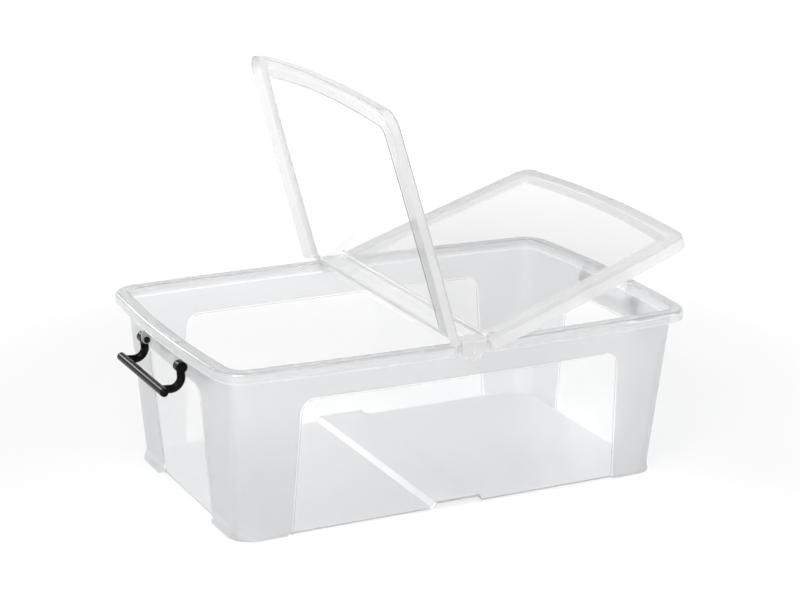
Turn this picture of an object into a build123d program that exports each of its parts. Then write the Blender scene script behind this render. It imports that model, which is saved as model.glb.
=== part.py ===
"""Portable file box: a tapered tub, a clip-on centre bar, two folding lid flaps and two swing handles.

All sizes are in millimetres. X runs along the long side, Y from front to back and Z up. The origin
is on the floor, under the middle of the tub. The lid flaps are modelled closed and then turned
about their hinge rods to the angle at which they stand.
"""

import os

from build123d import *

os.makedirs("parts", exist_ok=True)

# ---------------------------------------------------------------------------
# Driving dimensions
# ---------------------------------------------------------------------------

# tub: base, walls and rim
BASE_LENGTH = 634.0
BASE_WIDTH = 380.0
BASE_CORNER_RADIUS = 34.0
BASE_EDGE_RADIUS = 3.0
RIM_LENGTH = 718.0
RIM_WIDTH = 457.0
RIM_HEIGHT = 244.5
RIM_CORNER_RADIUS = 40.0
END_BOW = 12.0
SIDE_BOW = 10.5
RIM_OVERHANG = 15.0
SKIRT_DEPTH = 14.5
SHOULDER_RADIUS = 5.0
MOUTH_RADIUS = 1.0
TUB_WALL = 2.5

# tub: feet and the tunnel that clears the bar of a box below
FOOT_HEIGHT = 3.0
FOOT_FLARE = 6.5
FOOT_BLEND = 12.0
FOOT_RAIL = 14.0
FOOT_START_X = 250.0
FOOT_START_Y = 98.0
TUNNEL_WIDTH = 77.0
TUNNEL_TOP_WIDTH = 62.0
TUNNEL_HEIGHT = 7.5

# tub: clear windows, each a shallow panel inside a raised bead
WINDOW_DEPTH = 0.6
BEAD_WIDTH = 3.0
BEAD_HEIGHT = 0.8
WINDOW_TOP_RADIUS = 18.0
SIDE_WINDOW_BOTTOM = 490.0
SIDE_WINDOW_TOP = 472.0
SIDE_WINDOW_DROP = 52.5
END_WINDOW_BOTTOM = 172.0
END_WINDOW_TOP = 190.0
END_WINDOW_DROP = 54.5

# tub: raised pad on each end of the rim, over the handle
PAD_LENGTH = 122.0
PAD_HEIGHT = 0.8
PAD_MARGIN = 1.0
PAD_CORNER_RADIUS = 4.0

# handles and the lugs that carry them
PIVOT_SETBACK = 7.0
PIVOT_DROP = 31.0
LUG_THICKNESS = 3.0
LUG_NOSE_RADIUS = 6.5
LUG_ROOT_DROP = 44.0
HANDLE_ROD = 12.0
HANDLE_ARM_ROD = 11.4
HANDLE_ARM_SPACING = 138.0
HANDLE_EYE_RADIUS = 8.0
HANDLE_ARM_SIDE_GAP = 0.5
ELBOW_DROP = 30.5
ELBOW_LEAN = 2.5
ELBOW_RADIUS = 15.0
GRIP_REACH = 28.0
GRIP_DROP = 28.0
GRIP_END_OVERRUN = 18.0
GRIP_END_RADIUS = 4.5
PIN_RADIUS = 3.4
PIN_CLEARANCE = 0.08
PIN_HEAD_RADIUS = 4.4

# centre bar
BAR_WIDTH = 36.0
BAR_RISE = 5.0
BAR_DEPTH = 13.0
BAR_WALL = 2.2
BAR_END_GAP = 1.0
BAR_EDGE_RADIUS = 1.2
SADDLE_FACE_THICKNESS = 2.4
SADDLE_EDGE_RADIUS = 4.0
POCKET_WIDTH = 48.0
POCKET_CLEARANCE = 0.4
TAB_WIDTH = 25.0
TAB_DROP = 8.0
TAB_CORNER_RADIUS = 5.0
BUTTON_RADIUS = 3.0
BUTTON_HEIGHT = 0.8
BUTTON_DROP = 16.5

# hinge between the bar and the flaps
HINGE_SPREAD = 4.0
HINGE_RISE = 6.5
HINGE_ROD_RADIUS = 2.5
HINGE_CLEARANCE = 0.08
EAR_RADIUS = 4.6
EAR_THICKNESS = 8.0
EAR_END_GAP = 0.5

# lid flaps
FLAP_RISE = 4.0
FLAP_WALL = 2.0
FLAP_SKIRT_DEPTH = 14.0
FLAP_SIDE_GAP = 6.2
FLAP_END_GAP = 2.0
FLAP_SIDE_FLARE = 3.7
FLAP_END_FLARE = 4.5
FLAP_TOP_CORNER_RADIUS = 24.0
FLAP_SKIRT_CORNER_RADIUS = 38.0
FLAP_FLAT_WIDTH = 12.7
FLAP_SIDE_SLOPE = 27.0
FLAP_END_SLOPE = 14.0
RECESS_CORNER_RADIUS = 22.0
PANEL_RECESS = 5.0
PANEL_CORNER_RADIUS = 12.0
HINGE_STRIP = 6.0
HINGE_STRIP_SLOPE = 2.5
HINGE_WEB = 3.0
FLAP_HEEL_RADIUS = 7.0
FLAP_EDGE_RADIUS = 2.0

# angles at which the flaps stand, from closed
LEFT_FLAP_ANGLE = 73.6
RIGHT_FLAP_ANGLE = 18.9

# ---------------------------------------------------------------------------
# Derived sizes
# ---------------------------------------------------------------------------

WALL_TOP_LENGTH = RIM_LENGTH - 2 * RIM_OVERHANG
WALL_TOP_WIDTH = RIM_WIDTH - 2 * RIM_OVERHANG
WALL_TOP_CORNER_RADIUS = RIM_CORNER_RADIUS - RIM_OVERHANG
SKIRT_BOTTOM_Z = RIM_HEIGHT - SKIRT_DEPTH
LEDGE_UNDERSIDE_Z = RIM_HEIGHT - TUB_WALL
FLOOR_TOP_Z = FOOT_HEIGHT + TUB_WALL
FOOT_TOP_Z = FOOT_HEIGHT + FOOT_BLEND
OVERCUT = 20.0

SIDE_WINDOW_TOP_Z = RIM_HEIGHT - SIDE_WINDOW_DROP
END_WINDOW_TOP_Z = RIM_HEIGHT - END_WINDOW_DROP

PAD_INNER_X = WALL_TOP_LENGTH / 2 - TUB_WALL + MOUTH_RADIUS
PAD_OUTER_X = RIM_LENGTH / 2 - SHOULDER_RADIUS - PAD_MARGIN
PAD_CENTRE_X = (PAD_INNER_X + PAD_OUTER_X) / 2
PAD_WIDTH = PAD_OUTER_X - PAD_INNER_X

PIVOT_X = RIM_LENGTH / 2 - PIVOT_SETBACK
PIVOT_Z = RIM_HEIGHT - PIVOT_DROP
LUG_ROOT_X = WALL_TOP_LENGTH / 2 - 2 * OVERCUT

ARM_Y = HANDLE_ARM_SPACING / 2
LUG_OUTER_Y = ARM_Y - HANDLE_ROD / 2 - HANDLE_ARM_SIDE_GAP
LUG_INNER_Y = LUG_OUTER_Y - LUG_THICKNESS
PIN_BALL_Y = LUG_INNER_Y - PIN_RADIUS

BAR_HALF = BAR_WIDTH / 2
BAR_TOP_Z = RIM_HEIGHT + BAR_RISE
BAR_HALF_SPAN = WALL_TOP_WIDTH / 2 - TUB_WALL - BAR_END_GAP
POCKET_FACE_Y = RIM_WIDTH / 2 - TUB_WALL
SADDLE_INNER_Y = POCKET_FACE_Y + POCKET_CLEARANCE
SADDLE_OUTER_Y = SADDLE_INNER_Y + SADDLE_FACE_THICKNESS
SADDLE_FACE_Y = (SADDLE_INNER_Y + SADDLE_OUTER_Y) / 2
SADDLE_ROOT_Y = BAR_HALF_SPAN - BAR_WALL
SADDLE_HOLLOW_Y = (BAR_HALF_SPAN + SADDLE_INNER_Y) / 2
SADDLE_HOLLOW_LENGTH = SADDLE_INNER_Y - BAR_HALF_SPAN - 2 * BAR_WALL
EAR_MIDDLE_Y = SADDLE_INNER_Y - BAR_WALL - EAR_THICKNESS / 2

HINGE_X = BAR_HALF + HINGE_SPREAD
HINGE_Z = RIM_HEIGHT + HINGE_RISE
FLAP_TOP_Z = RIM_HEIGHT + FLAP_RISE
FLAP_SKIRT_HALF_LENGTH = RIM_LENGTH / 2 + FLAP_END_GAP + FLAP_WALL
FLAP_SKIRT_HALF_WIDTH = RIM_WIDTH / 2 + FLAP_SIDE_GAP + FLAP_WALL
FLAP_TOP_HALF_LENGTH = FLAP_SKIRT_HALF_LENGTH - FLAP_END_FLARE
FLAP_TOP_HALF_WIDTH = FLAP_SKIRT_HALF_WIDTH - FLAP_SIDE_FLARE
FLAP_SKIRT_BOTTOM_Z = FLAP_TOP_Z - FLAP_SKIRT_DEPTH
FLAP_START_X = HINGE_X - HINGE_WEB / 2
RECESS_HINGE_X = FLAP_START_X + HINGE_STRIP
PANEL_HINGE_X = RECESS_HINGE_X + HINGE_STRIP_SLOPE


# ---------------------------------------------------------------------------
# Shared outlines
# ---------------------------------------------------------------------------


def bowed_outline(height, length, width, corner_radius):
    """A level face with rounded corners whose four sides swell gently outwards."""
    corner_x = length / 2 - END_BOW
    corner_y = width / 2 - SIDE_BOW
    with BuildSketch(Plane.XY.offset(height), mode=Mode.PRIVATE) as outline:
        with BuildLine():
            ThreePointArc((-corner_x, -corner_y), (0, -width / 2), (corner_x, -corner_y))
            ThreePointArc((corner_x, -corner_y), (length / 2, 0), (corner_x, corner_y))
            ThreePointArc((corner_x, corner_y), (0, width / 2), (-corner_x, corner_y))
            ThreePointArc((-corner_x, corner_y), (-length / 2, 0), (-corner_x, -corner_y))
        make_face()
        fillet(outline.vertices(), corner_radius)
    return outline.sketch


def straight_outline(height, length, width, corner_radius):
    """A level face with straight sides and rounded corners."""
    with BuildSketch(Plane.XY.offset(height), mode=Mode.PRIVATE) as outline:
        RectangleRounded(length, width, corner_radius)
    return outline.sketch


def base_outline(inset=0.0):
    """The wall's straight outline at the base, moved inwards by the inset."""
    return straight_outline(
        FOOT_HEIGHT, BASE_LENGTH - 2 * inset, BASE_WIDTH - 2 * inset, BASE_CORNER_RADIUS - inset
    )


def mouth_outline(inset=0.0):
    """The wall's bowed outline at the rim, moved inwards by the inset."""
    return bowed_outline(
        RIM_HEIGHT,
        WALL_TOP_LENGTH - 2 * inset,
        WALL_TOP_WIDTH - 2 * inset,
        WALL_TOP_CORNER_RADIUS - inset,
    )


def rim_outline(height, inset=0.0):
    """The rim's outer outline at a height, moved inwards by the inset."""
    return bowed_outline(
        height, RIM_LENGTH - 2 * inset, RIM_WIDTH - 2 * inset, RIM_CORNER_RADIUS - inset
    )


def wall_skin(outer_offset, inner_inset):
    """A skin that follows the outside of the tapered wall, between two offsets from it."""
    with BuildPart(mode=Mode.PRIVATE) as skin:
        loft(sections=[base_outline(-outer_offset), mouth_outline(-outer_offset)])
        loft(sections=[base_outline(inner_inset), mouth_outline(inner_inset)], mode=Mode.SUBTRACT)
    return skin.part


def window_shape(plane, bottom_width, top_width, top_height, growth=0.0):
    """A window's outline: slanted sides, rounded top corners and an open bottom."""
    with BuildSketch(plane, mode=Mode.PRIVATE) as window:
        with BuildLine():
            Polyline(
                (-bottom_width / 2 - growth, -OVERCUT),
                (bottom_width / 2 + growth, -OVERCUT),
                (top_width / 2 + growth, top_height + growth),
                (-top_width / 2 - growth, top_height + growth),
                close=True,
            )
        make_face()
        fillet(window.vertices().group_by(Axis.Z)[-1], WINDOW_TOP_RADIUS + growth)
    return window.sketch


def side_window(growth=0.0):
    """The outline of the windows in the two long sides."""
    return window_shape(
        Plane.XZ, SIDE_WINDOW_BOTTOM, SIDE_WINDOW_TOP, SIDE_WINDOW_TOP_Z, growth
    )


def end_window(growth=0.0):
    """The outline of the windows in the two short ends."""
    return window_shape(Plane.YZ, END_WINDOW_BOTTOM, END_WINDOW_TOP, END_WINDOW_TOP_Z, growth)


def tunnel_corners(wall):
    """The corners of the tunnel's section in XZ, grown by a wall thickness."""
    half_bottom = TUNNEL_WIDTH / 2 + wall
    half_top = TUNNEL_TOP_WIDTH / 2 + wall
    top = FOOT_HEIGHT + TUNNEL_HEIGHT + wall
    return [
        (-half_bottom, FOOT_HEIGHT),
        (half_bottom, FOOT_HEIGHT),
        (half_top, top),
        (-half_top, top),
    ]


# ---------------------------------------------------------------------------
# Tub
# ---------------------------------------------------------------------------

# the rim is a flat ledge with a rounded shoulder and a skirt, hollow from below
with BuildPart() as rim:
    extrude(rim_outline(SKIRT_BOTTOM_Z), amount=SKIRT_DEPTH)
    fillet(rim.edges().group_by(Axis.Z)[-1], SHOULDER_RADIUS)
    extrude(
        rim_outline(SKIRT_BOTTOM_Z, TUB_WALL), amount=SKIRT_DEPTH - TUB_WALL, mode=Mode.SUBTRACT
    )

# the feet are rails round the four corners, flared outwards at the short ends
with BuildPart() as feet:
    loft(
        sections=[
            straight_outline(
                0, BASE_LENGTH + 2 * FOOT_FLARE, BASE_WIDTH - 2 * BASE_EDGE_RADIUS, BASE_CORNER_RADIUS
            ),
            straight_outline(FOOT_TOP_Z, BASE_LENGTH, BASE_WIDTH, BASE_CORNER_RADIUS),
        ]
    )
    with Locations((0, 0, FOOT_TOP_Z / 2)):
        Box(2 * FOOT_START_X, 2 * BASE_WIDTH, 2 * FOOT_TOP_Z, mode=Mode.SUBTRACT)
        Box(2 * BASE_LENGTH, 2 * FOOT_START_Y, 2 * FOOT_TOP_Z, mode=Mode.SUBTRACT)
    extrude(
        straight_outline(
            FOOT_HEIGHT,
            BASE_LENGTH - 2 * FOOT_RAIL,
            BASE_WIDTH - 2 * FOOT_RAIL,
            BASE_CORNER_RADIUS - FOOT_RAIL,
        ),
        amount=-2 * FOOT_HEIGHT,
        mode=Mode.SUBTRACT,
    )

# the window panels are sunk a little into the wall, and a bead runs round each
with BuildPart() as window_openings:
    extrude(side_window(), amount=BASE_WIDTH, both=True)
    extrude(end_window(), amount=BASE_LENGTH, both=True)

with BuildPart() as window_panels:
    add(wall_skin(WINDOW_DEPTH, WINDOW_DEPTH))
    add(window_openings.part, mode=Mode.INTERSECT)

with BuildPart() as bead_surrounds:
    extrude(side_window(BEAD_WIDTH), amount=BASE_WIDTH, both=True)
    extrude(end_window(BEAD_WIDTH), amount=BASE_LENGTH, both=True)

with BuildPart() as window_beads:
    add(wall_skin(BEAD_HEIGHT, WINDOW_DEPTH))
    add(bead_surrounds.part, mode=Mode.INTERSECT)
    add(window_openings.part, mode=Mode.SUBTRACT)

# one lug is a plate that hangs from the ledge and ends in a round nose about the pivot
with BuildPart() as lug:
    with BuildSketch(Plane.XZ.offset(-LUG_OUTER_Y)):
        with BuildLine():
            nose = CenterArc((PIVOT_X, PIVOT_Z), LUG_NOSE_RADIUS, -90, 90)
            Polyline(
                nose @ 1,
                (PIVOT_X + LUG_NOSE_RADIUS / 2, LEDGE_UNDERSIDE_Z),
                (LUG_ROOT_X, LEDGE_UNDERSIDE_Z),
                (LUG_ROOT_X, RIM_HEIGHT - LUG_ROOT_DROP),
                nose @ 0,
            )
        make_face()
        with Locations((PIVOT_X, PIVOT_Z)):
            Circle(PIN_RADIUS + PIN_CLEARANCE, mode=Mode.SUBTRACT)
    extrude(amount=LUG_THICKNESS)

with BuildPart() as tub:
    # tapered wall, solid at first
    loft(sections=[base_outline(), mouth_outline()])
    fillet(tub.edges().group_by(Axis.Z)[0], BASE_EDGE_RADIUS)
    add(rim.part)
    add(feet.part)
    add(window_beads.part)
    for facing in (0, 180):
        turned_lug = lug.part.rotate(Axis.Z, facing)
        add(turned_lug)
        mirror(turned_lug, about=Plane.XZ)

    # inside of the tub, down to the floor
    loft(
        sections=[
            straight_outline(
                FLOOR_TOP_Z,
                BASE_LENGTH - 2 * TUB_WALL,
                BASE_WIDTH - 2 * TUB_WALL,
                BASE_CORNER_RADIUS - TUB_WALL,
            ),
            mouth_outline(TUB_WALL),
        ],
        mode=Mode.SUBTRACT,
    )
    mouth_edges = tub.faces().filter_by(Plane.XY).sort_by(Axis.Z)[-1].inner_wires()[0].edges()
    fillet(mouth_edges, MOUTH_RADIUS)
    add(window_panels.part, mode=Mode.SUBTRACT)

    # tunnel across the underside, with the floor carried over it
    with BuildSketch(Plane.XZ):
        with BuildLine():
            Polyline(*tunnel_corners(TUB_WALL), close=True)
        make_face()
    extrude(amount=BASE_WIDTH / 2 - TUB_WALL / 2, both=True)
    with BuildSketch(Plane.XZ):
        with BuildLine():
            Polyline(*tunnel_corners(0.0), close=True)
        make_face()
    extrude(amount=BASE_WIDTH, both=True, mode=Mode.SUBTRACT)

    # pockets in the skirt for the ends of the bar, each closed by a set-back wall
    for side in (-1, 1):
        with Locations((0, side * (POCKET_FACE_Y + OVERCUT / 2), RIM_HEIGHT)):
            Box(POCKET_WIDTH, OVERCUT, 2 * (SKIRT_DEPTH + OVERCUT), mode=Mode.SUBTRACT)
        with Locations((0, side * (POCKET_FACE_Y - TUB_WALL / 2), RIM_HEIGHT - SKIRT_DEPTH / 2)):
            Box(POCKET_WIDTH + 2 * TUB_WALL, TUB_WALL, SKIRT_DEPTH)

    # raised pads on the ends of the rim, over the handles
    with BuildSketch(Plane.XY.offset(RIM_HEIGHT)):
        with Locations((-PAD_CENTRE_X, 0), (PAD_CENTRE_X, 0)):
            RectangleRounded(PAD_WIDTH, PAD_LENGTH, PAD_CORNER_RADIUS)
    extrude(amount=PAD_HEIGHT)
tub.part.label = "tub"
export_step(tub.part, "parts/tub.step")


# ---------------------------------------------------------------------------
# Centre bar
# ---------------------------------------------------------------------------

with BuildPart() as centre_bar:
    # channel across the mouth, open below and closed at its ends
    with Locations((0, 0, BAR_TOP_Z)):
        Box(
            BAR_WIDTH,
            2 * BAR_HALF_SPAN,
            BAR_DEPTH,
            align=(Align.CENTER, Align.CENTER, Align.MAX),
        )
    with Locations((0, 0, BAR_TOP_Z - BAR_WALL)):
        Box(
            BAR_WIDTH - 2 * BAR_WALL,
            2 * (BAR_HALF_SPAN - BAR_WALL),
            BAR_DEPTH,
            align=(Align.CENTER, Align.CENTER, Align.MAX),
            mode=Mode.SUBTRACT,
        )

    # saddles: a plate on the ledge that turns down into a face in the rim's pocket
    for facing in (Plane.YZ, Plane.YZ.rotated((0, 0, 180))):
        with BuildSketch(facing):
            with BuildLine():
                Polyline(
                    (SADDLE_ROOT_Y, RIM_HEIGHT),
                    (SADDLE_INNER_Y, RIM_HEIGHT),
                    (SADDLE_INNER_Y, SKIRT_BOTTOM_Z),
                    (SADDLE_OUTER_Y, SKIRT_BOTTOM_Z),
                    (SADDLE_OUTER_Y, BAR_TOP_Z),
                    (SADDLE_ROOT_Y, BAR_TOP_Z),
                    close=True,
                )
            make_face()
        extrude(amount=BAR_HALF, both=True)
    top_edges = centre_bar.faces().sort_by(Axis.Z)[-1].edges()
    fillet(top_edges.filter_by(Axis.X), SADDLE_EDGE_RADIUS)
    fillet(centre_bar.faces().sort_by(Axis.Z)[-1].edges().filter_by(Axis.Y), BAR_EDGE_RADIUS)

    for side in (-1, 1):
        # the saddle plate is hollow from below
        with Locations((0, side * SADDLE_HOLLOW_Y, RIM_HEIGHT)):
            Box(
                BAR_WIDTH - 2 * BAR_WALL,
                SADDLE_HOLLOW_LENGTH,
                2 * (BAR_TOP_Z - RIM_HEIGHT - BAR_WALL),
                mode=Mode.SUBTRACT,
            )
        # clip tab below the face, with rounded lower corners
        with BuildSketch(Plane.XZ.offset(-side * SADDLE_FACE_Y)):
            with Locations((0, SKIRT_BOTTOM_Z - TAB_DROP)):
                RectangleRounded(
                    TAB_WIDTH, 2 * TAB_DROP, TAB_CORNER_RADIUS, align=(Align.CENTER, Align.MIN)
                )
        extrude(amount=SADDLE_FACE_THICKNESS / 2, both=True)
        # round button on the face
        with BuildSketch(Plane.XZ.offset(-side * SADDLE_OUTER_Y)):
            with Locations((0, BAR_TOP_Z - BUTTON_DROP)):
                Circle(BUTTON_RADIUS)
        extrude(amount=-side * BUTTON_HEIGHT)
        # ears that carry the hinge rods of the two flaps
        with BuildSketch(Plane.XZ.offset(-side * EAR_MIDDLE_Y)):
            with Locations((-HINGE_X, HINGE_Z), (HINGE_X, HINGE_Z)):
                Circle(EAR_RADIUS)
            with Locations((0, HINGE_Z - EAR_RADIUS)):
                Rectangle(
                    2 * HINGE_X, BAR_TOP_Z - HINGE_Z + EAR_RADIUS, align=(Align.CENTER, Align.MIN)
                )
            with Locations((-HINGE_X, HINGE_Z), (HINGE_X, HINGE_Z)):
                Circle(HINGE_ROD_RADIUS + HINGE_CLEARANCE, mode=Mode.SUBTRACT)
        extrude(amount=EAR_THICKNESS / 2, both=True)
centre_bar.part.label = "centre_bar"
export_step(centre_bar.part, "parts/centre_bar.step")


# ---------------------------------------------------------------------------
# Lid flaps
# ---------------------------------------------------------------------------


def flap_outline(height, inset=0.0):
    """The flaring outside of the two closed flaps at a height, moved inwards by the inset."""
    rise = (height - FLAP_SKIRT_BOTTOM_Z) / FLAP_SKIRT_DEPTH
    return bowed_outline(
        height,
        2 * (FLAP_SKIRT_HALF_LENGTH - rise * FLAP_END_FLARE - inset),
        2 * (FLAP_SKIRT_HALF_WIDTH - rise * FLAP_SIDE_FLARE - inset),
        FLAP_SKIRT_CORNER_RADIUS
        - rise * (FLAP_SKIRT_CORNER_RADIUS - FLAP_TOP_CORNER_RADIUS)
        - inset,
    )


def recess_outline(height, end_slope, side_slope, hinge_x, corner_radius):
    """The recess of a closed flap: bowed on three sides, straight along the hinge."""
    length = 2 * (FLAP_TOP_HALF_LENGTH - FLAP_FLAT_WIDTH - end_slope)
    width = 2 * (FLAP_TOP_HALF_WIDTH - FLAP_FLAT_WIDTH - side_slope)
    with BuildSketch(Plane.XY.offset(height), mode=Mode.PRIVATE) as outline:
        add(bowed_outline(0, length, width, corner_radius))
        with Locations((hinge_x, 0)):
            Rectangle(length, length, align=(Align.MIN, Align.CENTER), mode=Mode.INTERSECT)
        fillet(outline.vertices().group_by(Axis.X)[0], corner_radius)
    return outline.sketch


def panel_outline(depth):
    """The bottom of the recess, at a depth below the top of the closed flap."""
    return recess_outline(
        FLAP_TOP_Z - PANEL_RECESS - depth,
        FLAP_END_SLOPE,
        FLAP_SIDE_SLOPE,
        PANEL_HINGE_X - depth,
        PANEL_CORNER_RADIUS,
    )


def recess_mouth_outline(depth):
    """The mouth of the recess, at a depth below the top of the closed flap."""
    return recess_outline(FLAP_TOP_Z - depth, 0, 0, RECESS_HINGE_X - depth, RECESS_CORNER_RADIUS)


with BuildPart() as closed_flap:
    # shell with a flared skirt, for both halves of the lid at first
    loft(sections=[flap_outline(FLAP_SKIRT_BOTTOM_Z), flap_outline(FLAP_TOP_Z)])
    fillet(closed_flap.edges().group_by(Axis.Z)[-1], FLAP_EDGE_RADIUS)
    loft(
        sections=[
            flap_outline(FLAP_SKIRT_BOTTOM_Z, FLAP_WALL),
            flap_outline(FLAP_TOP_Z - FLAP_WALL, FLAP_WALL),
        ],
        mode=Mode.SUBTRACT,
    )
    # sunk panel inside a sloping border
    loft(sections=[panel_outline(FLAP_WALL), recess_mouth_outline(FLAP_WALL)])
    loft(sections=[panel_outline(0), recess_mouth_outline(0)], mode=Mode.SUBTRACT)
    # only the half on one side of the hinge is kept, with the heel of its skirt rounded
    split(bisect_by=Plane.YZ.offset(FLAP_START_X), keep=Keep.TOP)
    heel_edges = closed_flap.faces().sort_by(Axis.X)[0].edges().filter_by(Axis.Y)
    fillet(heel_edges.group_by(Axis.Z)[0], FLAP_HEEL_RADIUS)
    # room for the ears of the bar
    with Locations((FLAP_START_X, -EAR_MIDDLE_Y, HINGE_Z), (FLAP_START_X, EAR_MIDDLE_Y, HINGE_Z)):
        Box(
            2 * (HINGE_X - FLAP_START_X + EAR_RADIUS + EAR_END_GAP),
            EAR_THICKNESS + 2 * EAR_END_GAP,
            2 * FLAP_SKIRT_DEPTH,
            mode=Mode.SUBTRACT,
        )
    # hinge rod along the inner edge, its ends free to run in the ears
    with Locations((HINGE_X, 0, FLAP_TOP_Z - FLAP_WALL)):
        Box(
            HINGE_WEB,
            2 * (EAR_MIDDLE_Y - EAR_THICKNESS / 2 - EAR_END_GAP),
            HINGE_Z - FLAP_TOP_Z + FLAP_WALL,
            align=(Align.CENTER, Align.CENTER, Align.MIN),
        )
    with BuildSketch(Plane.XZ):
        with Locations((HINGE_X, HINGE_Z)):
            Circle(HINGE_ROD_RADIUS)
    extrude(amount=EAR_MIDDLE_Y + EAR_THICKNESS / 2, both=True)

HINGE_AXIS = Axis((HINGE_X, 0, HINGE_Z), (0, 1, 0))

with BuildPart() as right_flap:
    add(closed_flap.part.rotate(HINGE_AXIS, -RIGHT_FLAP_ANGLE))
right_flap.part.label = "right_flap"
export_step(right_flap.part, "parts/right_flap.step")

with BuildPart() as left_flap:
    mirror(closed_flap.part.rotate(HINGE_AXIS, -LEFT_FLAP_ANGLE), about=Plane.YZ)
left_flap.part.label = "left_flap"
export_step(left_flap.part, "parts/left_flap.step")


# ---------------------------------------------------------------------------
# Handles
# ---------------------------------------------------------------------------

with BuildPart() as right_handle:
    # grip: a straight rod that runs a little past each arm and ends rounded
    grip_x = PIVOT_X + GRIP_REACH
    grip_z = PIVOT_Z - GRIP_DROP
    with BuildSketch(Plane.XZ):
        with Locations((grip_x, grip_z)):
            Circle(HANDLE_ROD / 2)
    extrude(amount=ARM_Y + GRIP_END_OVERRUN, both=True)
    grip_ends = right_handle.faces().filter_by(Axis.Y)
    fillet(grip_ends.edges(), GRIP_END_RADIUS)

    for side in (-1, 1):
        # arm, a touch thinner than the grip: down from the pivot, round the elbow and out
        with BuildLine() as arm_path:
            FilletPolyline(
                (PIVOT_X, side * ARM_Y, PIVOT_Z),
                (PIVOT_X - ELBOW_LEAN, side * ARM_Y, PIVOT_Z - ELBOW_DROP),
                (grip_x, side * ARM_Y, grip_z),
                radius=ELBOW_RADIUS,
            )
        with BuildSketch(Plane(origin=arm_path.line @ 0, z_dir=arm_path.line % 0)):
            Circle(HANDLE_ARM_ROD / 2)
        sweep(path=arm_path.line)
        # eye about the pivot
        with BuildSketch(Plane.XZ.offset(-side * ARM_Y)):
            with Locations((PIVOT_X, PIVOT_Z)):
                Circle(HANDLE_EYE_RADIUS)
        extrude(amount=HANDLE_ROD / 2, both=True)
        # pin through the lug, with a ball at its end that keeps it there
        with BuildSketch(Plane.XZ.offset(-side * ARM_Y)):
            with Locations((PIVOT_X, PIVOT_Z)):
                Circle(PIN_RADIUS)
        extrude(amount=side * (ARM_Y - PIN_BALL_Y))
        with Locations((PIVOT_X, side * PIN_BALL_Y, PIVOT_Z)):
            Sphere(PIN_HEAD_RADIUS)
right_handle.part.label = "right_handle"
export_step(right_handle.part, "parts/right_handle.step")

with BuildPart() as left_handle:
    mirror(right_handle.part, about=Plane.YZ)
left_handle.part.label = "left_handle"
export_step(left_handle.part, "parts/left_handle.step")
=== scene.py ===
# %% [markdown]
# # A portable file box with a folding lid
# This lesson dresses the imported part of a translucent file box: a tapered tub with clear windows,
# a clip-on centre bar, two folding lid flaps and two black swing handles.
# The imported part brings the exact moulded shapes. What is left is the plastic itself: where it is
# frosted, where it is polished clear, how it scatters light, and the studio it stands in.

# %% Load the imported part
import math

import bpy
from mathutils import Matrix, Vector


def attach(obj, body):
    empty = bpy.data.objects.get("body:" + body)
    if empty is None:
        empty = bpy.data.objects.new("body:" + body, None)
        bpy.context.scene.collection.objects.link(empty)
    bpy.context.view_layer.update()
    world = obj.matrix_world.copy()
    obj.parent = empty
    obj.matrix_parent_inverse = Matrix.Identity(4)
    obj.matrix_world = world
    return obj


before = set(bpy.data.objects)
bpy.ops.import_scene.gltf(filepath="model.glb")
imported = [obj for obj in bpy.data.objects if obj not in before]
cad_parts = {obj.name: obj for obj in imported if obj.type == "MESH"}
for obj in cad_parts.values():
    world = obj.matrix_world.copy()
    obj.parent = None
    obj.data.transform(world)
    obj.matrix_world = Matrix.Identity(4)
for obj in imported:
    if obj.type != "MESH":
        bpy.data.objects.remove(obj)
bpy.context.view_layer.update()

# %% [markdown]
# ## Small tools for node trees
# Most finishes here are worked out from a point's place on the piece, with a dozen small sums.
# Wiring each Math node by hand is slow to read, so two helpers keep the sums short. One plugs
# either a number or another node's output into a socket, and the other adds a Math node with it.


# %% Helpers for sums in a node tree
def plug(tree, value, socket):
    """Puts a number on a socket, or links another node's output to it."""
    if isinstance(value, bpy.types.NodeSocket):
        tree.links.new(value, socket)
    else:
        socket.default_value = value


def sum_of(tree, operation, *values):
    """Adds a Math node that works on numbers or outputs, and gives its result."""
    node = tree.nodes.new("ShaderNodeMath")
    node.operation = operation
    for value, socket in zip(values, node.inputs):
        plug(tree, value, socket)
    return node.outputs[0]


print("helpers for sums ready")

# %% [markdown]
# ## Small tools for node groups
# A pattern that several finishes share could be wired anew in each material. It is built once as
# a node group instead, so that a change reaches them all. Each group here takes a place and
# perhaps a number, and gives named results that a material can pick from. Most start from noise.


# %% Helpers for node groups
def open_group(name, numbers, results):
    """Starts a node group that takes a place and some numbers and gives the named results."""
    group = bpy.data.node_groups.new(name, "ShaderNodeTree")
    group.interface.new_socket(name="Place", in_out="INPUT", socket_type="NodeSocketVector")
    for label, start in numbers.items():
        socket = group.interface.new_socket(
            name=label, in_out="INPUT", socket_type="NodeSocketFloat"
        )
        socket.default_value = start
    for label in results:
        group.interface.new_socket(name=label, in_out="OUTPUT", socket_type="NodeSocketFloat")
    return group, group.nodes.new("NodeGroupInput"), group.nodes.new("NodeGroupOutput")


def add_noise(tree, place, scale, detail):
    """A Noise Texture at a place, and its result."""
    noise = tree.nodes.new("ShaderNodeTexNoise")
    plug(tree, place, noise.inputs["Vector"])
    plug(tree, scale, noise.inputs["Scale"])
    noise.inputs["Detail"].default_value = detail
    return noise.outputs[0]


print("helpers for groups ready")

# %% [markdown]
# ## The grain of moulded polypropylene
# A mould for a frosted box is blasted, so its grain is a fine, even pebble, well under a
# millimetre across. The plastic also cools unevenly, which leaves large faint clouds in it.
# An image texture could carry both, but noise on the piece's own coordinates never stretches or
# shows a seam, and it follows the piece when it swings. Two noises of very different size do it.

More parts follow.
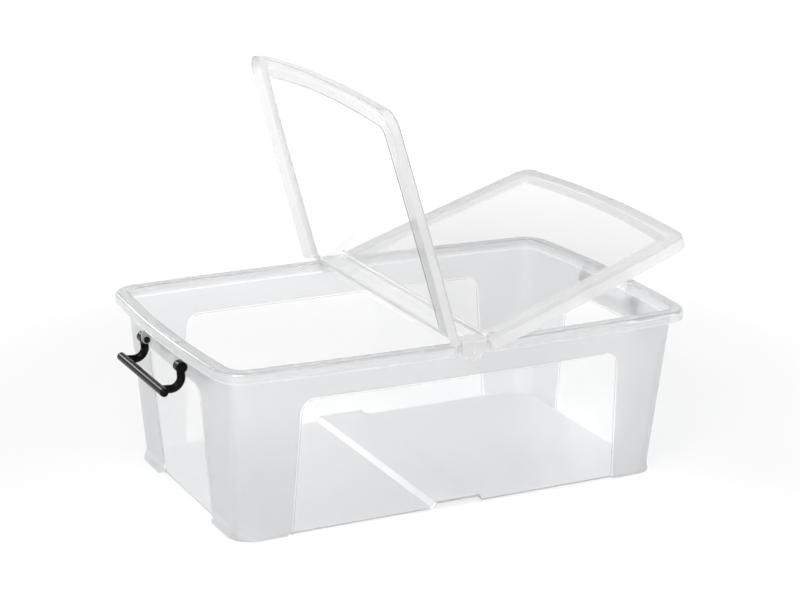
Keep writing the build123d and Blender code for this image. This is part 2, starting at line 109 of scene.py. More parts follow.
# %% Group: grain and clouds
GRAIN_SIZE = 0.0009
GRAIN_DETAIL = 1.0
CLOUD_SCALE = 9.0
CLOUD_DETAIL = 3.0

moulded_grain, entry, result = open_group(
    "moulded_grain", {"Grain Size": GRAIN_SIZE}, ["Pebble", "Clouds"]
)
place = entry.outputs["Place"]
grain_scale = sum_of(moulded_grain, "DIVIDE", 1.0, entry.outputs["Grain Size"])
pebble = add_noise(moulded_grain, place, grain_scale, GRAIN_DETAIL)
clouds = add_noise(moulded_grain, place, CLOUD_SCALE, CLOUD_DETAIL)
plug(moulded_grain, pebble, result.inputs["Pebble"])
plug(moulded_grain, clouds, result.inputs["Clouds"])
print(moulded_grain.name, "made")

# %% [markdown]
# ## Light handling marks
# Even a new box has a few hairlines where it was stacked and held. They are long, thin and
# nearly parallel. Noise that is squeezed across one direction and cut off high up leaves just
# such a sparse set of streaks. The cut is a smooth step, which the masks below use too. The
# hairlines only touch the roughness, as real ones do.

# %% Group: hairlines
HAIRLINE_TURN = (0.3, 0.5, 0.4)
HAIRLINE_SCALE = (12.0, 260.0, 420.0)
HAIRLINE_DETAIL = 2.0
HAIRLINE_FROM = 0.62
HAIRLINE_FULL = 0.72


def ramp_between(tree, value, low, high, from_value=0.0, to_value=1.0):
    """A smooth step: one value below the low mark, another above the high mark."""
    node = tree.nodes.new("ShaderNodeMapRange")
    node.interpolation_type = "SMOOTHSTEP"
    for entry, number in zip(node.inputs, (value, low, high, from_value, to_value)):
        plug(tree, number, entry)
    return node.outputs[0]


hairlines, entry, result = open_group("hairlines", {"Amount": 1.0}, ["Marks"])
squeeze = hairlines.nodes.new("ShaderNodeMapping")
plug(hairlines, entry.outputs["Place"], squeeze.inputs["Vector"])
squeeze.inputs["Rotation"].default_value = HAIRLINE_TURN
squeeze.inputs["Scale"].default_value = HAIRLINE_SCALE
streaks = add_noise(hairlines, squeeze.outputs[0], 1.0, HAIRLINE_DETAIL)
streaks = ramp_between(hairlines, streaks, HAIRLINE_FROM, HAIRLINE_FULL)
marks = sum_of(hairlines, "MULTIPLY", streaks, entry.outputs["Amount"])
plug(hairlines, marks, result.inputs["Marks"])
print(hairlines.name, "made")

# %% [markdown]
# ## Distances to a shape
# A mask needs to know how far a point lies from the edge of a shape. The windows are trapezoids
# with round upper corners. Such a shape is a smaller trapezoid with sharp corners, grown by the
# radius of the corners, so the distance is taken to the smaller one and the radius taken off.


# %% Helpers for distances
def split_place(tree, place):
    """The X, Y and Z outputs of a place."""
    axes = tree.nodes.new("ShaderNodeSeparateXYZ")
    plug(tree, place, axes.inputs[0])
    return axes.outputs


def root_of_squares(tree, first, second):
    """The straight distance made up of two distances at right angles."""
    squares = sum_of(tree, "MULTIPLY_ADD", first, first, sum_of(tree, "MULTIPLY", second, second))
    return sum_of(tree, "SQRT", squares)


def trapezoid_gap(tree, across, up, foot_half, top_half, foot_z, top_z, corner):
    """The distance outside a trapezoid with round upper corners; inside it is negative."""
    slant = (top_half - foot_half) / (top_z - foot_z)
    half = sum_of(tree, "MULTIPLY_ADD", up, slant, foot_half - slant * foot_z)
    beside = sum_of(tree, "ADD", sum_of(tree, "SUBTRACT", across, half), corner)
    above = sum_of(tree, "SUBTRACT", up, top_z - corner)
    beside = sum_of(tree, "MAXIMUM", beside, 0.0)
    above = sum_of(tree, "MAXIMUM", above, 0.0)
    return sum_of(tree, "SUBTRACT", root_of_squares(tree, beside, above), corner)


print("helpers for distances ready")

# %% [markdown]
# ## Where the tub is clear
# The tub has four polished windows in a frosted wall. On the real mould they are mirror-finished
# panels inside a raised bead, and both faces of the wall are polished there. Splitting the mesh
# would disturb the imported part, so a mask finds window and bead from the place of each point,
# once for the long sides and once for the ends.

# %% Group: windows with their beads
SIDE_WALL_FROM_Y = 0.1865
SIDE_WINDOW = {"foot_half": 0.245, "top_half": 0.236, "top_z": 0.192}
END_WALL_FROM_X = 0.3135
END_WINDOW = {"foot_half": 0.086, "top_half": 0.095, "top_z": 0.190}
BOTH_WINDOWS = {"foot_z": -0.020, "corner": 0.018}
BEAD_WIDTH = 0.003

window_mask, entry, result = open_group("window_mask", {}, ["Polished"])
axes = split_place(window_mask, entry.outputs["Place"])
along = sum_of(window_mask, "ABSOLUTE", axes["X"])
across = sum_of(window_mask, "ABSOLUTE", axes["Y"])
side_gap = trapezoid_gap(window_mask, along, axes["Z"], **SIDE_WINDOW, **BOTH_WINDOWS)
end_gap = trapezoid_gap(window_mask, across, axes["Z"], **END_WINDOW, **BOTH_WINDOWS)
in_window = []
for gap, depth, wall_from in (
    (side_gap, across, SIDE_WALL_FROM_Y),
    (end_gap, along, END_WALL_FROM_X),
):
    inside = sum_of(window_mask, "LESS_THAN", gap, BEAD_WIDTH)
    on_wall = sum_of(window_mask, "GREATER_THAN", depth, wall_from)
    in_window.append(sum_of(window_mask, "MULTIPLY", inside, on_wall))
plug(window_mask, sum_of(window_mask, "MAXIMUM", *in_window), result.inputs["Polished"])
print(window_mask.name, "made")

# %% [markdown]
# ## Where a lid flap is clear
# A flap is a clear sunk panel inside a sloping border and a frosted frame. Faces could be picked
# by hand for each zone, but a mask from the place of each point can also fade from one zone to
# the next. It is simplest to describe for a closed lid, as nested rounded rectangles with bowed
# sides. The result runs from 0 on the panel, over the slope, to 1 at the frame and beyond.

# %% Group: panel, slope and frame of a flap
PANEL_HALF_LENGTH = 0.3288
PANEL_HALF_WIDTH = 0.1903
END_SLOPE = 0.014
SIDE_SLOPE = 0.027
END_BOW = 0.012
SIDE_BOW = 0.0105
HINGE_STRIP_END = 0.029
HINGE_STRIP_FADE = 0.003


def bowed_gap(tree, place, beside, half, half_beside, bow, slope):
    """How far a point lies outside a bowed side, in widths of the slope beyond it."""
    share = sum_of(tree, "MULTIPLY", beside, 1 / half_beside)
    edge = sum_of(tree, "MULTIPLY_ADD", sum_of(tree, "MULTIPLY", share, share), -bow, half)
    gap = sum_of(tree, "MULTIPLY", sum_of(tree, "SUBTRACT", place, edge), 1 / slope)
    return sum_of(tree, "MAXIMUM", gap, 0.0)


lid_zones, entry, result = open_group("lid_zones", {}, ["Frame"])
axes = split_place(lid_zones, entry.outputs["Place"])
along = sum_of(lid_zones, "ABSOLUTE", axes["X"])
across = sum_of(lid_zones, "ABSOLUTE", axes["Y"])
end_gap = bowed_gap(
    lid_zones, along, across, PANEL_HALF_LENGTH, PANEL_HALF_WIDTH, END_BOW, END_SLOPE
)
side_gap = bowed_gap(
    lid_zones, across, along, PANEL_HALF_WIDTH, PANEL_HALF_LENGTH, SIDE_BOW, SIDE_SLOPE
)
hinge_gap = ramp_between(
    lid_zones, along, HINGE_STRIP_END, HINGE_STRIP_END + HINGE_STRIP_FADE, 1.0, 0.0
)
ring = sum_of(lid_zones, "MAXIMUM", root_of_squares(lid_zones, end_gap, side_gap), hinge_gap)
plug(lid_zones, ring, result.inputs["Frame"])
print(lid_zones.name, "made")

# %% [markdown]
# ## One way to build translucent plastic
# Polypropylene is neither glass nor milk: it lets light through, blurs it, and scatters a little
# of it back as white. One Principled shader does all three, with a high transmission for the
# light that goes through, roughness for the blur, and the rest left as a pale body colour.
# A second, clearer shader takes over where the plastic is polished.

# %% Helpers for the two plastics
PLASTIC_IOR = 1.49
COAT_BLUR = 0.12
CLEAR_COLOUR = (0.99, 0.99, 0.99)


def start_material(name):
    """A new material, its node tree, and the place of each point on the piece."""
    material = bpy.data.materials.new(name)
    material.use_nodes = True
    tree = material.node_tree
    coordinates = tree.nodes.new("ShaderNodeTexCoord")
    return material, tree, coordinates.outputs["Object"]


def set_plastic(shader, transmission, coat=0.0):
    """The numbers that are the same all over a plastic surface."""
    shader.inputs["IOR"].default_value = PLASTIC_IOR
    shader.inputs["Transmission Weight"].default_value = transmission
    shader.inputs["Coat Weight"].default_value = coat
    shader.inputs["Coat Roughness"].default_value = COAT_BLUR


def add_polished(tree, transmission, marks, least_blur):
    """A clear polished shader, blurred only by its hairlines."""
    polished = tree.nodes.new("ShaderNodeBsdfPrincipled")
    set_plastic(polished, transmission)
    polished.inputs["Base Color"].default_value = (*CLEAR_COLOUR, 1.0)
    plug(tree, sum_of(tree, "ADD", marks, least_blur), polished.inputs["Roughness"])
    return polished


print("helpers for the two plastics ready")

# %% [markdown]
# ## What varies over the plastic
# No moulded face is quite even. The blur drifts with the clouds, the colour is painted greyer as
# painted shade where the view crosses more plastic, and the frost stands up as a fine relief.
# Painted maps could hold all this, but they need an unwrapped mesh and blur when seen close. The
# groups' masks stay sharp at any distance. One helper places a group in a material, and the
# others feed a mask to a socket.

# %% Helpers for blur, colour and relief
THIN_CLOUDS = 0.35
THICK_CLOUDS = 0.65


def use_group(tree, group, place, **numbers):
    """Places a group in a material with its own numbers and gives its outputs."""
    node = tree.nodes.new("ShaderNodeGroup")
    node.node_tree = group
    plug(tree, place, node.inputs["Place"])
    for label, value in numbers.items():
        plug(tree, value, node.inputs[label])
    return node.outputs


def clouded(tree, clouds, thin_value, thick_value):
    """A number that drifts between two values with the clouds in the plastic."""
    return ramp_between(tree, clouds, THIN_CLOUDS, THICK_CLOUDS, thin_value, thick_value)


def blend_colours(tree, first, second, share, socket):
    """Feeds a colour socket with two colours, blended by a mask."""
    blend = tree.nodes.new("ShaderNodeMix")
    blend.data_type = "RGBA"
    blend.inputs[6].default_value = (*first, 1.0)
    blend.inputs[7].default_value = (*second, 1.0)
    plug(tree, share, blend.inputs["Factor"])
    tree.links.new(blend.outputs[2], socket)


def add_bump(tree, height, strength, distance, shader):
    """Raises a height as fine relief on a shader."""
    bump = tree.nodes.new("ShaderNodeBump")
    bump.inputs["Strength"].default_value = strength
    bump.inputs["Distance"].default_value = distance
    plug(tree, height, bump.inputs["Height"])
    tree.links.new(bump.outputs[0], shader.inputs["Normal"])


print("helpers for blur, colour and relief ready")

# %% [markdown]
# ## From two plastics to a finish
# The last helpers join the two shaders and put the finish on its piece. Lamps would see either
# shader as solid and cast a black shadow under the box, where real translucent plastic casts a
# pale one. Light that is traced through the walls would get there slowly and with much noise, so
# shadow rays meet a faintly tinted Transparent shader instead.


# %% Helpers to finish a material
def two_plastics(tree, frost, polished, frost_share):
    """Mixes a polished and a frosted shader, and gives the result."""
    mixer = tree.nodes.new("ShaderNodeMixShader")
    plug(tree, frost_share, mixer.inputs[0])
    tree.links.new(polished.outputs[0], mixer.inputs[1])
    tree.links.new(frost.outputs[0], mixer.inputs[2])
    return mixer.outputs[0]


def let_lamps_through(tree, surface, tint):
    """Shows a tinted Transparent shader to shadow rays, and the surface to all others."""
    path = tree.nodes.new("ShaderNodeLightPath")
    open_air = tree.nodes.new("ShaderNodeBsdfTransparent")
    open_air.inputs["Color"].default_value = (*tint, 1.0)
    chooser = tree.nodes.new("ShaderNodeMixShader")
    tree.links.new(path.outputs["Is Shadow Ray"], chooser.inputs[0])
    tree.links.new(surface, chooser.inputs[1])
    tree.links.new(open_air.outputs[0], chooser.inputs[2])
    tree.links.new(chooser.outputs[0], tree.nodes["Material Output"].inputs["Surface"])


def dress(node, material):
    """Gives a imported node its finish."""
    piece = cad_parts[node]
    piece.material_slots[0].material = material
    print(node, "wears", material.name)


print("helpers for finishes ready")

# %% [markdown]
# ## Zones of the tub
# The tub is one moulding with several looks: a frosted wall, polished windows with their beads,
# and a glossier rim whose skirt ends in a thin pale line, which is a painted highlight. Separate
# materials would need the mesh cut along each border. The imported tub stays whole, so every zone
# is a mask: the group above finds the windows, and smooth steps over the height find the rim and
# the painted highlight at the edge of its skirt.

# %% Zones of the tub
RIM_FROM_Z = 0.2295
RIM_FADE = 0.001
SKIRT_HIGHLIGHT_TO_Z = 0.2311
CRISP_FADE = 0.0004
WINDOW_HAIRLINES = 0.05

frosted_tub, tree, place = start_material("frosted_tub")
windows = use_group(tree, window_mask, place)
grain = use_group(tree, moulded_grain, place)
marks = use_group(tree, hairlines, place, Amount=WINDOW_HAIRLINES)
height = split_place(tree, place)["Z"]
rim_share = ramp_between(tree, height, RIM_FROM_Z - RIM_FADE, RIM_FROM_Z)
wall_share = sum_of(tree, "SUBTRACT", 1.0, rim_share)
# A thin band at the foot of the skirt is painted pale, as a painted highlight.
highlight_end = ramp_between(tree, height, SKIRT_HIGHLIGHT_TO_Z, SKIRT_HIGHLIGHT_TO_Z + CRISP_FADE, 1.0, 0.0)
highlight_share = sum_of(tree, "MULTIPLY", rim_share, highlight_end)
print("rim from", RIM_FROM_Z, "m up, its pale edge to", SKIRT_HIGHLIGHT_TO_Z, "m")

# %% [markdown]
# ## The tub: frosted wall, polished windows
# The wall scatters enough light to look like pale smoke, and the windows hardly any. Clouds vary
# the blur a little, the pebble gives the wall its satin, and the bead round each window is
# polished like the window, which is why it catches a bright line. The rim has less blur and more
# clear coat than the wall, so its shoulder mirrors the lamps. The lower edge of its skirt is
# painted pale: a painted highlight that stands in for the light such an edge gathers.

# %% Finish of the tub
FROST_COLOUR = (0.828, 0.832, 0.837)
PAINTED_HIGHLIGHT_COLOUR = (0.97, 0.97, 0.975)
TUB_SHADOW_TINT = (0.85, 0.855, 0.86)
WALL_TRANSMISSION = 0.80
WALL_THIN_BLUR = 0.29
WALL_THICK_BLUR = 0.37
WALL_COAT = 0.25
WALL_RELIEF = 0.12
RELIEF_DEPTH = 0.0003
RIM_BLUR = 0.26
RIM_COAT = 0.6
WINDOW_TRANSMISSION = 0.97
WINDOW_BLUR = 0.02

frost = tree.nodes["Principled BSDF"]
set_plastic(frost, WALL_TRANSMISSION)
wall_blur = clouded(tree, grain["Clouds"], WALL_THIN_BLUR, WALL_THICK_BLUR)
frost_blur = ramp_between(tree, rim_share, 0.0, 1.0, wall_blur, RIM_BLUR)
plug(tree, frost_blur, frost.inputs["Roughness"])
rim_coat = ramp_between(tree, rim_share, 0.0, 1.0, WALL_COAT, RIM_COAT)
plug(tree, rim_coat, frost.inputs["Coat Weight"])
# The pale colour blended in at the foot of the skirt is a painted highlight.
blend_colours(tree, FROST_COLOUR, PAINTED_HIGHLIGHT_COLOUR, highlight_share, frost.inputs["Base Color"])
pebble = sum_of(tree, "MULTIPLY", grain["Pebble"], wall_share)
add_bump(tree, pebble, WALL_RELIEF, RELIEF_DEPTH, frost)

polished = add_polished(tree, WINDOW_TRANSMISSION, marks["Marks"], WINDOW_BLUR)
frost_share = sum_of(tree, "SUBTRACT", 1.0, windows["Polished"])
let_lamps_through(tree, two_plastics(tree, frost, polished, frost_share), TUB_SHADOW_TINT)
dress("tub", frosted_tub)

# %% [markdown]
# ## From an open flap back to the closed lid
# The zones of a flap are drawn for a closed lid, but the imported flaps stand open, each at its own
# angle. Turning the mesh back and forth would do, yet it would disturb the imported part. A Mapping
# node turns the coordinates instead. It turns them about the origin, so a shift has to make up
# for the place of the hinge.

# %% Helper: the closed place of a point
HINGE_X = 0.022
HINGE_Z = 0.251


def turned_back(tree, place, side, angle):
    """The place of a point when its flap lies closed."""
    hinge = Vector((side * HINGE_X, 0, HINGE_Z))
    turn = Matrix.Rotation(angle, 3, "Y")
    shift = hinge - turn @ hinge
    mapping = tree.nodes.new("ShaderNodeMapping")
    plug(tree, place, mapping.inputs["Vector"])
    mapping.inputs["Location"].default_value = shift
    mapping.inputs["Rotation"].default_value = (0.0, angle, 0.0)
    return mapping.outputs[0]


print("hinges", HINGE_X, "m to each side and", HINGE_Z, "m up")

# %% [markdown]
# ## The flaps: clear panel, frosted frame
# The same two plastics make a flap. The share of frost grows over the sloping border and is full
# on the frame and skirt. The slope is painted a little greyer than the frame, as painted shade for
# the view that crosses it at a slant and passes more plastic. One loop makes both materials,
# because only the angle that the Mapping node undoes differs between left and right.

# %% Finish of the two flaps
FRAME_COLOUR = (0.82, 0.82, 0.815)
# The slope colour is painted shade: the same plastic as the frame, painted greyer.
SLOPE_SHADE_COLOUR = (0.73, 0.73, 0.725)
LID_SHADOW_TINT = (0.93, 0.935, 0.94)
LID_THIN_BLUR = 0.08
LID_THICK_BLUR = 0.13
FLAP_TRANSMISSION = 0.66
FLAP_COAT = 0.2
FLAP_RELIEF = 0.05
FRAME_FROM = 0.85
FRAME_FULL = 1.05
BORDER_FULL = 0.3
BORDER_FROST = 0.85
PANEL_TRANSMISSION = 1.0
PANEL_BLUR = 0.01
PANEL_HAIRLINES = 0.03
FLAPS = {"left_flap": (-1, -73.6), "right_flap": (1, 18.9)}

for node, (side, degrees) in FLAPS.items():
    clear_flap, tree, place = start_material("clear_" + node)
    closed_place = turned_back(tree, place, side, math.radians(degrees))
    zones = use_group(tree, lid_zones, closed_place)
    grain = use_group(tree, moulded_grain, place)
    marks = use_group(tree, hairlines, closed_place, Amount=PANEL_HAIRLINES)
    frame_share = ramp_between(tree, zones["Frame"], FRAME_FROM, FRAME_FULL)

    frost = tree.nodes["Principled BSDF"]
    set_plastic(frost, FLAP_TRANSMISSION, FLAP_COAT)
    # This blend greys the slope with painted shade.
    blend_colours(tree, SLOPE_SHADE_COLOUR, FRAME_COLOUR, frame_share, frost.inputs["Base Color"])
    frost_blur = clouded(tree, grain["Clouds"], LID_THIN_BLUR, LID_THICK_BLUR)
    plug(tree, frost_blur, frost.inputs["Roughness"])
    add_bump(tree, grain["Pebble"], FLAP_RELIEF, RELIEF_DEPTH, frost)

    polished = add_polished(tree, PANEL_TRANSMISSION, marks["Marks"], PANEL_BLUR)
    border_share = ramp_between(tree, zones["Frame"], 0.0, BORDER_FULL, 0.0, BORDER_FROST)
    frost_share = ramp_between(tree, frame_share, 0.0, 1.0, border_share, 1.0)
    surface = two_plastics(tree, frost, polished, frost_share)
    let_lamps_through(tree, surface, LID_SHADOW_TINT)
    dress(node, clear_flap)

# %% [markdown]
# ## The centre bar: clear channel, frosted saddles
# The bar is a polished channel whose two ends, the saddles over the rim, are frosted so that the
# thumb finds them. The distance from the middle of the bar tells them apart, which one mask does
# for both ends. The round button on each saddle is left polished, so it stands out from the frost
# as a small lens.

# %% Finish of the bar
BAR_TRANSMISSION = 0.60
BAR_COAT = 0.3
BAR_RELIEF = 0.1
CHANNEL_TRANSMISSION = 0.95
CHANNEL_BLUR = 0.05
CHANNEL_HAIRLINES = 0.04
CHANNEL_FROST = 0.25
SADDLE_FROM_Y = 0.206
SADDLE_FADE = 0.006
BUTTON_RADIUS = 0.003
BUTTON_Z = 0.233
BUTTON_FROST = 0.15

clear_bar, tree, place = start_material("clear_bar")
grain = use_group(tree, moulded_grain, place)
marks = use_group(tree, hairlines, place, Amount=CHANNEL_HAIRLINES)
axes = split_place(tree, place)
from_middle = sum_of(tree, "ABSOLUTE", axes["Y"])
drop = sum_of(tree, "SUBTRACT", axes["Z"], BUTTON_Z)
from_button = root_of_squares(tree, drop, axes["X"])

frost = tree.nodes["Principled BSDF"]
set_plastic(frost, BAR_TRANSMISSION, BAR_COAT)
frost.inputs["Base Color"].default_value = (*FRAME_COLOUR, 1.0)
frost_blur = clouded(tree, grain["Clouds"], LID_THIN_BLUR, LID_THICK_BLUR)
plug(tree, frost_blur, frost.inputs["Roughness"])
add_bump(tree, grain["Pebble"], BAR_RELIEF, RELIEF_DEPTH, frost)

polished = add_polished(tree, CHANNEL_TRANSMISSION, marks["Marks"], CHANNEL_BLUR)
saddle_share = ramp_between(
    tree, from_middle, SADDLE_FROM_Y - SADDLE_FADE, SADDLE_FROM_Y, CHANNEL_FROST, 1.0
)
off_button = ramp_between(
    tree, from_button, BUTTON_RADIUS, BUTTON_RADIUS + CRISP_FADE, BUTTON_FROST, 1.0
)
frost_share = sum_of(tree, "MULTIPLY", saddle_share, off_button)
let_lamps_through(tree, two_plastics(tree, frost, polished, frost_share), LID_SHADOW_TINT)
dress("centre_bar", clear_bar)

# %% [markdown]
# ## The handles: black gloss
# The handles are solid black plastic from a polished mould. Black gloss lives from its
# reflections, so the colour stays very dark and the surface carries a faint unevenness, which
# makes the highlights wander a little along the rod, and a few hairlines from carrying. In a
# white studio it would turn grey, so it mirrors less than its index of refraction would give.

# %% Finish of the handles
BLACK = (0.001, 0.001, 0.0011)
WORN_BLACK = (0.003, 0.003, 0.0033)
GLOSS_LEVEL = 0.10
GLOSS_THIN_BLUR = 0.10
GLOSS_THICK_BLUR = 0.17
GLOSS_GRAIN_SIZE = 0.004
GLOSS_RELIEF = 0.15
GLOSS_RELIEF_DEPTH = 0.0004
GLOSS_HAIRLINES = 0.12

black_gloss, tree, place = start_material("black_gloss")
grain = use_group(tree, moulded_grain, place, **{"Grain Size": GLOSS_GRAIN_SIZE})
marks = use_group(tree, hairlines, place, Amount=GLOSS_HAIRLINES)
shader = tree.nodes["Principled BSDF"]
shader.inputs["IOR"].default_value = PLASTIC_IOR
shader.inputs["Specular IOR Level"].default_value = GLOSS_LEVEL
blend_colours(tree, BLACK, WORN_BLACK, grain["Clouds"], shader.inputs["Base Color"])
gloss_blur = clouded(tree, grain["Clouds"], GLOSS_THIN_BLUR, GLOSS_THICK_BLUR)
plug(tree, sum_of(tree, "ADD", gloss_blur, marks["Marks"]), shader.inputs["Roughness"])
add_bump(tree, grain["Pebble"], GLOSS_RELIEF, GLOSS_RELIEF_DEPTH, shader)
for node in ("left_handle", "right_handle"):
    dress(node, black_gloss)

# %% [markdown]
# ## Gate marks on the grips
# A handle is filled with plastic from the ends of its grip, and each end keeps a small sunk disc
# with a raised rim where the runner was cut off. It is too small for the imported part, but it
# catches the light. A bump could fake it, but not from the side, so it is modelled. The first one
# starts as a short cylinder that stands a hair's breadth out of the left grip's front end.

# %% Start one gate mark
GRIP_X = 0.380
GRIP_Z = 0.1855
GRIP_END_Y = 0.087
GATE_RADIUS = 0.0019
GATE_SIDES = 32
GATE_PROUD = 0.0001
GATE_DEPTH = 0.0012


def name_piece(piece, name):
    """Names an object and its mesh alike."""
    piece.name = name
    piece.data.name = name


mark_middle = Vector((-GRIP_X, -(GRIP_END_Y + GATE_PROUD - GATE_DEPTH / 2), GRIP_Z))
bpy.ops.object.select_all(action="DESELECT")
bpy.ops.mesh.primitive_cylinder_add(
    vertices=GATE_SIDES,
    radius=GATE_RADIUS,
    depth=GATE_DEPTH,
    location=mark_middle,
    rotation=(math.radians(90), 0, 0),
)
first_mark = bpy.context.object
name_piece(first_mark, "left_grip_front_gate")
bpy.ops.object.transform_apply(location=True, rotation=True, scale=True)
print(first_mark.name, "starts with", len(first_mark.data.polygons), "faces")

# %% [markdown]
# ## Sink the disc and soften its rim
# A cutter leaves the middle of the mark a little below its rim. A boolean could scoop that out,
# but an inset and a push keep the faces in neat rings, and a bevel can then run round them. Only
# the front face is worked on, and it is found by its normal.

# %% Sink and bevel the gate mark
GATE_RIM_WIDTH = GATE_RADIUS * 0.35
GATE_SUNK_BY = GATE_DEPTH * 0.3
GATE_BEVEL = 0.00015
GATE_SMOOTH_ANGLE = math.radians(40)
FRONT_FACING = -0.9

bpy.ops.object.mode_set(mode="EDIT")
bpy.ops.mesh.select_mode(type="FACE")
bpy.ops.mesh.select_all(action="DESELECT")
bpy.ops.object.mode_set(mode="OBJECT")
for face in first_mark.data.polygons:
    face.select = face.normal.y < FRONT_FACING
bpy.ops.object.mode_set(mode="EDIT")
bpy.ops.mesh.inset(thickness=GATE_RIM_WIDTH)
bpy.ops.transform.translate(value=(0, GATE_SUNK_BY, 0))
bpy.ops.object.mode_set(mode="OBJECT")
bpy.ops.object.modifier_add(type="BEVEL")
bevel = first_mark.modifiers[-1]
bevel.width = GATE_BEVEL
bevel.segments = 2
bpy.ops.object.modifier_apply(modifier=bevel.name)
bpy.ops.object.shade_smooth_by_angle(angle=GATE_SMOOTH_ANGLE)
first_mark.data.materials.append(black_gloss)
print(first_mark.name, len(first_mark.data.polygons), "faces")

# %% [markdown]
# ## Three more gate marks
# All four marks come from one mould design, so the other three are copies. Mirroring would turn
# their faces inside out. A half turn about the upright axis keeps them right and carries the mark
# from the left front to the right back, and a shift along the box carries it to the other handle.
# Each copy then rides with its handle.


# %% Copy the gate mark to the other grip ends
def select_only(piece):
    """Makes one object the selected and active one."""
    bpy.ops.object.select_all(action="DESELECT")
    piece.select_set(True)
    bpy.context.view_layer.objects.active = piece


def copy_mark(name, half_turn, shift):
    """A copy of the first mark with its own mesh, turned and shifted to its place."""
    select_only(first_mark)
    bpy.ops.object.duplicate()
    copy = bpy.context.object
    name_piece(copy, name)
    if half_turn:
        bpy.ops.transform.rotate(value=math.pi, orient_axis="Z", center_override=(0, 0, 0))
    bpy.ops.transform.translate(value=(shift, 0, 0))
    bpy.ops.object.transform_apply(location=True, rotation=True, scale=True)
    return copy


marks_by_handle = {
    "left_handle_body": [first_mark, copy_mark("left_grip_back_gate", True, -2 * GRIP_X)],
    "right_handle_body": [
        copy_mark("right_grip_front_gate", False, 2 * GRIP_X),
        copy_mark("right_grip_back_gate", True, 0.0),
    ],
}
for body, gate_marks in marks_by_handle.items():
    for mark in gate_marks:
        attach(mark, body)
        print(mark.name, "rides", body)

# %% [markdown]
# ## The studio floor
# The box stands on a wide pale floor that runs into a white surround. Part of the floor's white
# is its own glow, and the rest is lit, so that the soft shadow under the box stays. The lamps
# reach less far than the floor does, so the glow grows with the distance from the box. The glow is
# only there for the camera and for mirrored and bent rays, so it puts no light on the box itself.

# %% Floor
FLOOR_SIZE = 14.0
FLOOR_DROP = 0.0002
FLOOR_COLOUR = (0.60, 0.60, 0.60)
FLOOR_BLUR = 0.85
GLOW_COLOUR = (1.0, 1.0, 1.0)
GLOW_FROM = 0.5
GLOW_TO = 2.2
NEAR_GLOW = 0.30
FAR_GLOW = 0.80

bpy.ops.object.select_all(action="DESELECT")
bpy.ops.mesh.primitive_plane_add(size=FLOOR_SIZE, location=(0, 0, -FLOOR_DROP))
floor = bpy.context.object
floor.name = "studio_floor"
white_floor, tree, place = start_material("white_floor")
shader = tree.nodes["Principled BSDF"]
shader.inputs["Base Color"].default_value = (*FLOOR_COLOUR, 1.0)
shader.inputs["Roughness"].default_value = FLOOR_BLUR
shader.inputs["Emission Color"].default_value = (*GLOW_COLOUR, 1.0)
distance = tree.nodes.new("ShaderNodeVectorMath")
distance.operation = "LENGTH"
plug(tree, place, distance.inputs[0])
glow = ramp_between(tree, distance.outputs["Value"], GLOW_FROM, GLOW_TO, NEAR_GLOW, FAR_GLOW)
path = tree.nodes.new("ShaderNodeLightPath")
shown = path.outputs["Is Camera Ray"]
for kind in ("Is Glossy Ray", "Is Transmission Ray"):
    shown = sum_of(tree, "MAXIMUM", shown, path.outputs[kind])
plug(tree, sum_of(tree, "MULTIPLY", glow, shown), shader.inputs["Emission Strength"])
floor.data.materials.append(white_floor)
print(floor.name, FLOOR_SIZE, "m wide")

# %% [markdown]
# ## The surround
# A product tent is bright at the height of the box and overhead, with a darker band between.
# That band is what draws the edges of clear plastic: an edge bends the view up into it and turns
# grey, while a flat panel shows the white behind it. The camera itself always sees plain white.

# %% World
WHITE = (1.0, 1.0, 1.0, 1.0)
BAND = (0.30, 0.305, 0.31, 1.0)
OVERHEAD = (0.65, 0.65, 0.655, 1.0)
SURROUND = ((0.20, WHITE), (0.46, BAND), (0.68, BAND), (0.88, OVERHEAD))

world = bpy.data.worlds.new("studio")
bpy.context.scene.world = world
world.use_nodes = True
tree = world.node_tree
coordinates = tree.nodes.new("ShaderNodeTexCoord")
height = split_place(tree, coordinates.outputs["Generated"])["Z"]
fade = tree.nodes.new("ShaderNodeValToRGB")
stops = fade.color_ramp.elements
for number, (stop_height, colour) in enumerate(SURROUND):
    if number >= len(stops):
        stops.new(stop_height)
    stops[number].position = stop_height
    stops[number].color = colour
plug(tree, height, fade.inputs[0])
path = tree.nodes.new("ShaderNodeLightPath")
chooser = tree.nodes.new("ShaderNodeMix")
chooser.data_type = "RGBA"
plug(tree, path.outputs["Is Camera Ray"], chooser.inputs["Factor"])
plug(tree, fade.outputs[0], chooser.inputs[6])
chooser.inputs[7].default_value = WHITE
tree.links.new(chooser.outputs[2], tree.nodes["Background"].inputs["Color"])
print("surround made")

# %% [markdown]
# ## The lamps
# Two soft square lamps stand in front of the box, the stronger one to the upper left. They light
# the frosted walls evenly. Two smaller ones are there to be mirrored, one beside the first for
# the shoulder of the rim, and one behind the box for the long highlights on the black grips.
# Area lamps are used, because a point or a sun would show as a hard dot in the gloss.

# %% Lamps
BOX_MIDDLE = Vector((0.0, 0.0, 0.15))


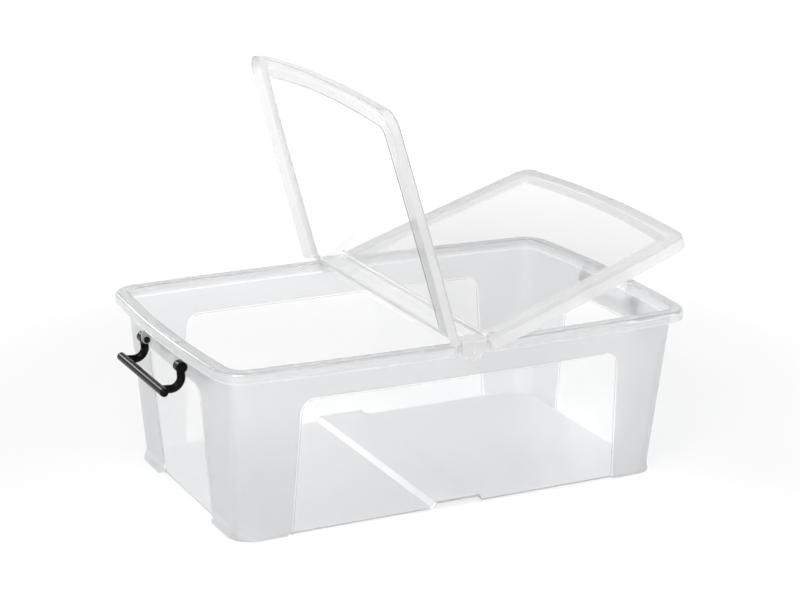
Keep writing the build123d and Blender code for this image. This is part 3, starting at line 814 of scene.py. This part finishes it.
def soft_lamp(name, place, size, power):
    """A square area lamp at a place, turned to the middle of the box."""
    bpy.ops.object.light_add(type="AREA", location=place)
    lamp = bpy.context.object
    lamp.name = name
    lamp.rotation_euler = (BOX_MIDDLE - Vector(place)).to_track_quat("-Z", "Y").to_euler()
    lamp.data.shape = "SQUARE"
    lamp.data.size = size
    lamp.data.energy = power
    print(name, power, "W")


soft_lamp("key_lamp", (-1.6, -1.8, 2.6), size=1.6, power=60)
soft_lamp("fill_lamp", (2.4, -1.2, 1.8), size=1.6, power=25)
soft_lamp("glint_lamp", (-2.0, -1.4, 1.9), size=0.35, power=9)
soft_lamp("back_lamp", (-1.0, 2.6, 1.4), size=0.7, power=14)

# %% [markdown]
# ## The camera
# The camera stands in front and to the left, a little above the lid, with a long lens so that
# the tub's sides stay nearly parallel. Its turn is built from the view direction and a slight
# roll, rather than typed as three angles, because each of these numbers means something.

# %% Camera
CAMERA_PLACE = Vector((-1.3264, -2.6520, 1.1363))
CAMERA_AZIMUTH = math.radians(-26.64)
CAMERA_ELEVATION = math.radians(16.78)
CAMERA_ROLL = math.radians(0.72)
CAMERA_LENS = 99.34
SENSOR_WIDTH = 36.0

back = Vector(
    (
        math.sin(CAMERA_AZIMUTH) * math.cos(CAMERA_ELEVATION),
        -math.cos(CAMERA_AZIMUTH) * math.cos(CAMERA_ELEVATION),
        math.sin(CAMERA_ELEVATION),
    )
)
right = (-back).cross(Vector((0, 0, 1))).normalized()
up = right.cross(-back)
rolled_right = right * math.cos(CAMERA_ROLL) + up * math.sin(CAMERA_ROLL)
rolled_up = up * math.cos(CAMERA_ROLL) - right * math.sin(CAMERA_ROLL)
turn = Matrix((rolled_right, rolled_up, back)).transposed()
bpy.ops.object.camera_add(location=CAMERA_PLACE, rotation=turn.to_euler())
camera = bpy.context.object
camera.data.lens = CAMERA_LENS
camera.data.sensor_width = SENSOR_WIDTH
bpy.context.scene.camera = camera
bpy.context.scene.view_settings.view_transform = "Standard"
print("camera", CAMERA_LENS, "mm")
